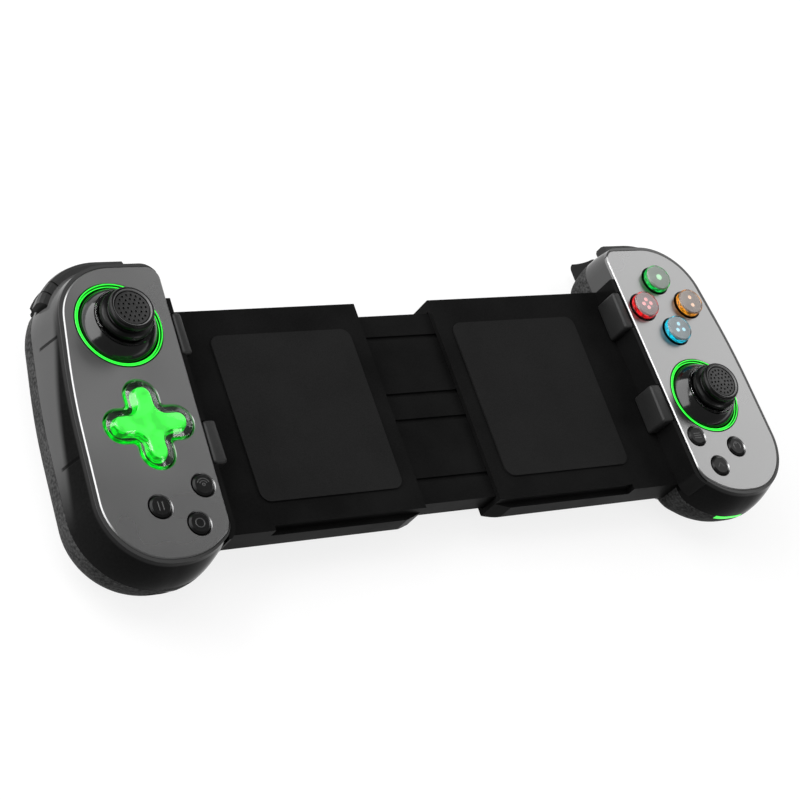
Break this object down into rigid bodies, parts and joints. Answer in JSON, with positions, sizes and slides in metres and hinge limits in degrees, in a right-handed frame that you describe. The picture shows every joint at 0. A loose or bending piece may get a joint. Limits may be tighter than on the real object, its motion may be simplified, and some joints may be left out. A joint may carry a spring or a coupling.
{
  "type": "telescopic handheld game controller",
  "caption": "Handheld game controller of two handles on a spring-loaded sliding bridge, with tilting sticks, a direction pad, push buttons, bumpers and triggers.",
  "frame": {"origin": "centre of the footprint, on the plane the handles' backs rest on", "axes": "+X along the bridge towards the right handle, +Y towards the shoulder buttons, +Z out of the faceplates"},
  "size_m": [0.2326, 0.0932, 0.0361],
  "materials": {
    "plate_metal": "satin metallic grey",
    "smoky_shell": "glossy smoky black",
    "grip_plastic": "grained matt dark grey",
    "bridge_plastic": "matt black",
    "black_rubber": "matt black rubber",
    "grey_rubber": "matt grey rubber",
    "green_light": "diffusing plastic, lit green",
    "clear_plastic": "clear crystal plastic",
    "dark_gloss": "glossy black",
    "steel": "plain steel",
    "circuit_board": "green solder mask",
    "silicone": "soft silicone",
    "cell_wrap": "plain film",
    "button_green": "clear, green lit base",
    "button_red": "clear, red lit base",
    "button_orange": "clear, orange lit base",
    "button_blue": "clear, blue lit base"
  },
  "bodies": {
    "bridge": {"bridge_tongue": "bridge_plastic", "left_spring": "steel", "right_spring": "steel"},
    "left_handle": {"left_faceplate": "plate_metal", "left_shell": "smoky_shell", "left_grip": "grip_plastic", "left_sleeve": "bridge_plastic", "left_sleeve_pad": "grey_rubber", "left_jaw": "dark_gloss", "left_jaw_pads": "grey_rubber", "left_ring_light": "green_light", "left_board": "circuit_board", "left_key_mat": "silicone", "left_stick_base": "bridge_plastic", "left_case_screws": "steel", "left_shoulder_pins": "steel", "dpad_post": "bridge_plastic", "battery": "cell_wrap", "charging_port": "steel"},
    "left_stick_gimbal": {"left_stick_gimbal": "steel"},
    "left_stick_dome": {"left_stick_dome": "dark_gloss", "left_stick_collar": "clear_plastic"},
    "left_stick_cap": {"left_stick_cap": "black_rubber"},
    "left_bumper": {"left_bumper": "smoky_shell"},
    "left_trigger": {"left_trigger": "dark_gloss"},
    "left_button_upper": {"left_button_upper": "dark_gloss"},
    "left_button_outer": {"left_button_outer": "dark_gloss"},
    "left_button_lower": {"left_button_lower": "dark_gloss"},
    "right_handle": {"right_faceplate": "plate_metal", "right_shell": "smoky_shell", "right_grip": "grip_plastic", "right_sleeve": "bridge_plastic", "right_sleeve_pad": "grey_rubber", "right_jaw": "dark_gloss", "right_jaw_pads": "grey_rubber", "right_ring_light": "green_light", "right_board": "circuit_board", "right_key_mat": "silicone", "right_stick_base": "bridge_plastic", "right_case_screws": "steel", "right_shoulder_pins": "steel", "light_bar": "green_light"},
    "right_stick_gimbal": {"right_stick_gimbal": "steel"},
    "right_stick_dome": {"right_stick_dome": "dark_gloss", "right_stick_collar": "clear_plastic"},
    "right_stick_cap": {"right_stick_cap": "black_rubber"},
    "right_bumper": {"right_bumper": "smoky_shell"},
    "right_trigger": {"right_trigger": "dark_gloss"},
    "right_button_upper": {"right_button_upper": "dark_gloss"},
    "right_button_outer": {"right_button_outer": "dark_gloss"},
    "right_button_lower": {"right_button_lower": "dark_gloss"},
    "dpad_rocker": {"dpad_rocker": "steel"},
    "dpad": {"dpad_cap": "clear_plastic"},
    "face_button_top": {"face_button_top": "button_green"},
    "face_button_left": {"face_button_left": "button_red"},
    "face_button_right": {"face_button_right": "button_orange"},
    "face_button_bottom": {"face_button_bottom": "button_blue"}
  },
  "joints": [
    {"name": "left_slide", "type": "slide", "parent": "bridge", "child": "left_handle", "axis": [-1, 0, 0], "range_m": [-0.0124, 0.013], "stiffness_N_per_m": 150, "springref_m": -0.02, "deforming": ["left_spring"]},
    {"name": "left_stick_up_down", "type": "hinge", "parent": "left_handle", "child": "left_stick_gimbal", "pos_m": [-0.0923, 0.0221, 0.0225], "axis": [1, 0, 0], "range_deg": [-18, 18], "stiffness_Nm_per_rad": 0.03},
    {"name": "left_stick_sideways", "type": "hinge", "parent": "left_stick_gimbal", "child": "left_stick_dome", "pos_m": [-0.0923, 0.0221, 0.0225], "axis": [0, 1, 0], "range_deg": [-18, 18], "stiffness_Nm_per_rad": 0.03},
    {"name": "left_stick_click", "type": "slide", "parent": "left_stick_dome", "child": "left_stick_cap", "axis": [0, 0, -1], "range_m": [0, 0.0005], "stiffness_N_per_m": 1500, "springref_m": -0.0006},
    {"name": "left_bumper_press", "type": "hinge", "parent": "left_handle", "child": "left_bumper", "pos_m": [-0.0846, 0.0403, 0.021], "axis": [0, 0, 1], "range_deg": [0, 2.5], "stiffness_Nm_per_rad": 0.6, "springref_deg": -1.72},
    {"name": "left_trigger_pull", "type": "hinge", "parent": "left_handle", "child": "left_trigger", "pos_m": [-0.09, 0.0369, 0.013], "axis": [-1, 0, 0], "range_deg": [0, 16], "stiffness_Nm_per_rad": 0.04, "springref_deg": -8.59},
    {"name": "left_button_upper_press", "type": "slide", "parent": "left_handle", "child": "left_button_upper", "axis": [0, 0, -1], "range_m": [0, 0.0007], "stiffness_N_per_m": 800, "springref_m": -0.0006},
    {"name": "left_button_outer_press", "type": "slide", "parent": "left_handle", "child": "left_button_outer", "axis": [0, 0, -1], "range_m": [0, 0.0007], "stiffness_N_per_m": 800, "springref_m": -0.0006},
    {"name": "left_button_lower_press", "type": "slide", "parent": "left_handle", "child": "left_button_lower", "axis": [0, 0, -1], "range_m": [0, 0.0007], "stiffness_N_per_m": 800, "springref_m": -0.0006},
    {"name": "right_slide", "type": "slide", "parent": "bridge", "child": "right_handle", "axis": [1, 0, 0], "range_m": [-0.0124, 0.013], "stiffness_N_per_m": 150, "springref_m": -0.02, "deforming": ["right_spring"]},
    {"name": "right_stick_up_down", "type": "hinge", "parent": "right_handle", "child": "right_stick_gimbal", "pos_m": [0.0923, -0.0114, 0.0225], "axis": [1, 0, 0], "range_deg": [-18, 18], "stiffness_Nm_per_rad": 0.03},
    {"name": "right_stick_sideways", "type": "hinge", "parent": "right_stick_gimbal", "child": "right_stick_dome", "pos_m": [0.0923, -0.0114, 0.0225], "axis": [0, 1, 0], "range_deg": [-18, 18], "stiffness_Nm_per_rad": 0.03},
    {"name": "right_stick_click", "type": "slide", "parent": "right_stick_dome", "child": "right_stick_cap", "axis": [0, 0, -1], "range_m": [0, 0.0005], "stiffness_N_per_m": 1500, "springref_m": -0.0006},
    {"name": "right_bumper_press", "type": "hinge", "parent": "right_handle", "child": "right_bumper", "pos_m": [0.0846, 0.0403, 0.021], "axis": [0, 0, -1], "range_deg": [0, 2.5], "stiffness_Nm_per_rad": 0.6, "springref_deg": -1.72},
    {"name": "right_trigger_pull", "type": "hinge", "parent": "right_handle", "child": "right_trigger", "pos_m": [0.09, 0.0369, 0.013], "axis": [-1, 0, 0], "range_deg": [0, 16], "stiffness_Nm_per_rad": 0.04, "springref_deg": -8.59},
    {"name": "right_button_upper_press", "type": "slide", "parent": "right_handle", "child": "right_button_upper", "axis": [0, 0, -1], "range_m": [0, 0.0007], "stiffness_N_per_m": 800, "springref_m": -0.0006},
    {"name": "right_button_outer_press", "type": "slide", "parent": "right_handle", "child": "right_button_outer", "axis": [0, 0, -1], "range_m": [0, 0.0007], "stiffness_N_per_m": 800, "springref_m": -0.0006},
    {"name": "right_button_lower_press", "type": "slide", "parent": "right_handle", "child": "right_button_lower", "axis": [0, 0, -1], "range_m": [0, 0.0007], "stiffness_N_per_m": 800, "springref_m": -0.0006},
    {"name": "dpad_up_down", "type": "hinge", "parent": "left_handle", "child": "dpad_rocker", "pos_m": [-0.0925, -0.0064, 0.023], "axis": [1, 0, 0], "range_deg": [-3, 3], "stiffness_Nm_per_rad": 0.15},
    {"name": "dpad_sideways", "type": "hinge", "parent": "dpad_rocker", "child": "dpad", "pos_m": [-0.0925, -0.0064, 0.023], "axis": [0, 1, 0], "range_deg": [-3, 3], "stiffness_Nm_per_rad": 0.15},
    {"name": "face_button_top_press", "type": "slide", "parent": "right_handle", "child": "face_button_top", "axis": [0, 0, -1], "range_m": [0, 0.001], "stiffness_N_per_m": 600, "springref_m": -0.0008},
    {"name": "face_button_left_press", "type": "slide", "parent": "right_handle", "child": "face_button_left", "axis": [0, 0, -1], "range_m": [0, 0.001], "stiffness_N_per_m": 600, "springref_m": -0.0008},
    {"name": "face_button_right_press", "type": "slide", "parent": "right_handle", "child": "face_button_right", "axis": [0, 0, -1], "range_m": [0, 0.001], "stiffness_N_per_m": 600, "springref_m": -0.0008},
    {"name": "face_button_bottom_press", "type": "slide", "parent": "right_handle", "child": "face_button_bottom", "axis": [0, 0, -1], "range_m": [0, 0.001], "stiffness_N_per_m": 600, "springref_m": -0.0008}
  ]
}
